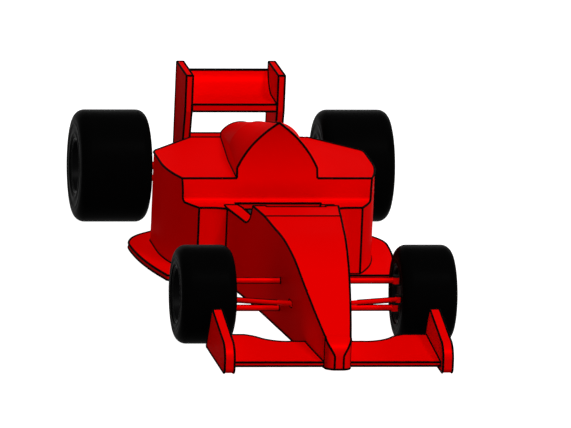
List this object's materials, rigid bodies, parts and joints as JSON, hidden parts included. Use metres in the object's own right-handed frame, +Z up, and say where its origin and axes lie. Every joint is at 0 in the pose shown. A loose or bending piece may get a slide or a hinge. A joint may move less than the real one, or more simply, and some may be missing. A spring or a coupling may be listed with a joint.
{
  "type": "open wheel racing car",
  "caption": "Single-seat racing car with open wheels, long tapering nose, wide front wing, full-width side bodies, finned engine cover and a tall rear wing.",
  "frame": {"origin": "on the floor under the middle of the car's length and width", "axes": "+X to the car's left, +Y to its rear, +Z up"},
  "size_m": [1.902, 4.266, 0.9875],
  "materials": {
    "body_red": "gloss red paint",
    "rod_red": "gloss red paint",
    "floor_red": "gloss red paint",
    "step_black": "satin black skid plate",
    "tyre_black": "matt black slick rubber",
    "rim_black": "satin black cast wheel",
    "upright_black": "matt black brake drum and upright",
    "gearbox_metal": "cast magnesium grey",
    "engine_metal": "cast aluminium",
    "steel": "bare steel",
    "seat_black": "black moulded seat shell",
    "dash_black": "satin black panel",
    "grip_black": "black suede grip"
  },
  "bodies": {
    "chassis": {"nose_cone": "body_red", "monocoque": "body_red", "side_body_left": "body_red", "side_body_right": "body_red", "engine_cover": "body_red", "floor_plate": "floor_red", "step_plate": "step_black", "diffuser": "step_black", "front_wing": "body_red", "front_wing_end_plate_left": "body_red", "front_wing_end_plate_right": "body_red", "rear_wing": "body_red", "rear_wing_end_plate_left": "body_red", "rear_wing_end_plate_right": "body_red", "lower_rear_wing": "body_red", "gearbox": "gearbox_metal", "rear_crash_box": "gearbox_metal", "engine_block": "engine_metal", "front_rods_left": "rod_red", "front_rods_right": "rod_red", "rack_housing": "engine_metal", "dash_panel": "dash_black", "seat": "seat_black", "rear_upright_left": "upright_black", "rear_upright_right": "upright_black", "rear_rods_left": "rod_red", "rear_rods_right": "rod_red"},
    "steering": {"steering_wheel": "grip_black", "steering_column": "steel"},
    "rack": {"steering_rack": "steel", "track_rod_left": "rod_red", "track_rod_right": "rod_red"},
    "knuckle_left": {"front_knuckle_left": "upright_black"},
    "knuckle_right": {"front_knuckle_right": "upright_black"},
    "wheel_front_left": {"front_tyre_left": "tyre_black", "front_rim_left": "rim_black"},
    "wheel_front_right": {"front_tyre_right": "tyre_black", "front_rim_right": "rim_black"},
    "wheel_rear_left": {"rear_tyre_left": "tyre_black", "rear_rim_left": "rim_black", "driveshaft_left": "steel"},
    "wheel_rear_right": {"rear_tyre_right": "tyre_black", "rear_rim_right": "rim_black", "driveshaft_right": "steel"}
  },
  "joints": [
    {"name": "steer_left", "type": "hinge", "parent": "chassis", "child": "knuckle_left", "pos_m": [0.494, -1.128, 0.275], "axis": [0, 0, 1], "range_deg": [-15, 15]},
    {"name": "steer_right", "type": "hinge", "parent": "chassis", "child": "knuckle_right", "pos_m": [-0.494, -1.128, 0.275], "axis": [0, 0, 1], "range_deg": [-15, 15]},
    {"name": "rack_slide", "type": "slide", "parent": "chassis", "child": "rack", "axis": [1, 0, 0], "range_m": [-0.0275, 0.0275]},
    {"name": "steering_wheel_turn", "type": "hinge", "parent": "chassis", "child": "steering", "pos_m": [0, -0.3807, 0.43814], "axis": [0, 0.9877, 0.1564], "range_deg": [-180, 180]},
    {"name": "front_wheel_left_turn", "type": "hinge", "parent": "knuckle_left", "child": "wheel_front_left", "pos_m": [0.65, -1.178, 0.288], "axis": [1, 0, 0], "continuous": true},
    {"name": "rear_wheel_left_turn", "type": "hinge", "parent": "chassis", "child": "wheel_rear_left", "pos_m": [0.735, 1.797, 0.336], "axis": [1, 0, 0], "continuous": true},
    {"name": "front_wheel_right_turn", "type": "hinge", "parent": "knuckle_right", "child": "wheel_front_right", "pos_m": [-0.65, -1.178, 0.288], "axis": [1, 0, 0], "continuous": true},
    {"name": "rear_wheel_right_turn", "type": "hinge", "parent": "chassis", "child": "wheel_rear_right", "pos_m": [-0.735, 1.797, 0.336], "axis": [1, 0, 0], "continuous": true}
  ],
  "couplings": [
    {"joint": "steer_right", "follows": "steer_left", "ratio": 1},
    {"joint": "rack_slide", "follows": "steer_left", "m_per_rad": 0.105},
    {"joint": "steering_wheel_turn", "follows": "steer_left", "ratio": 12}
  ]
}
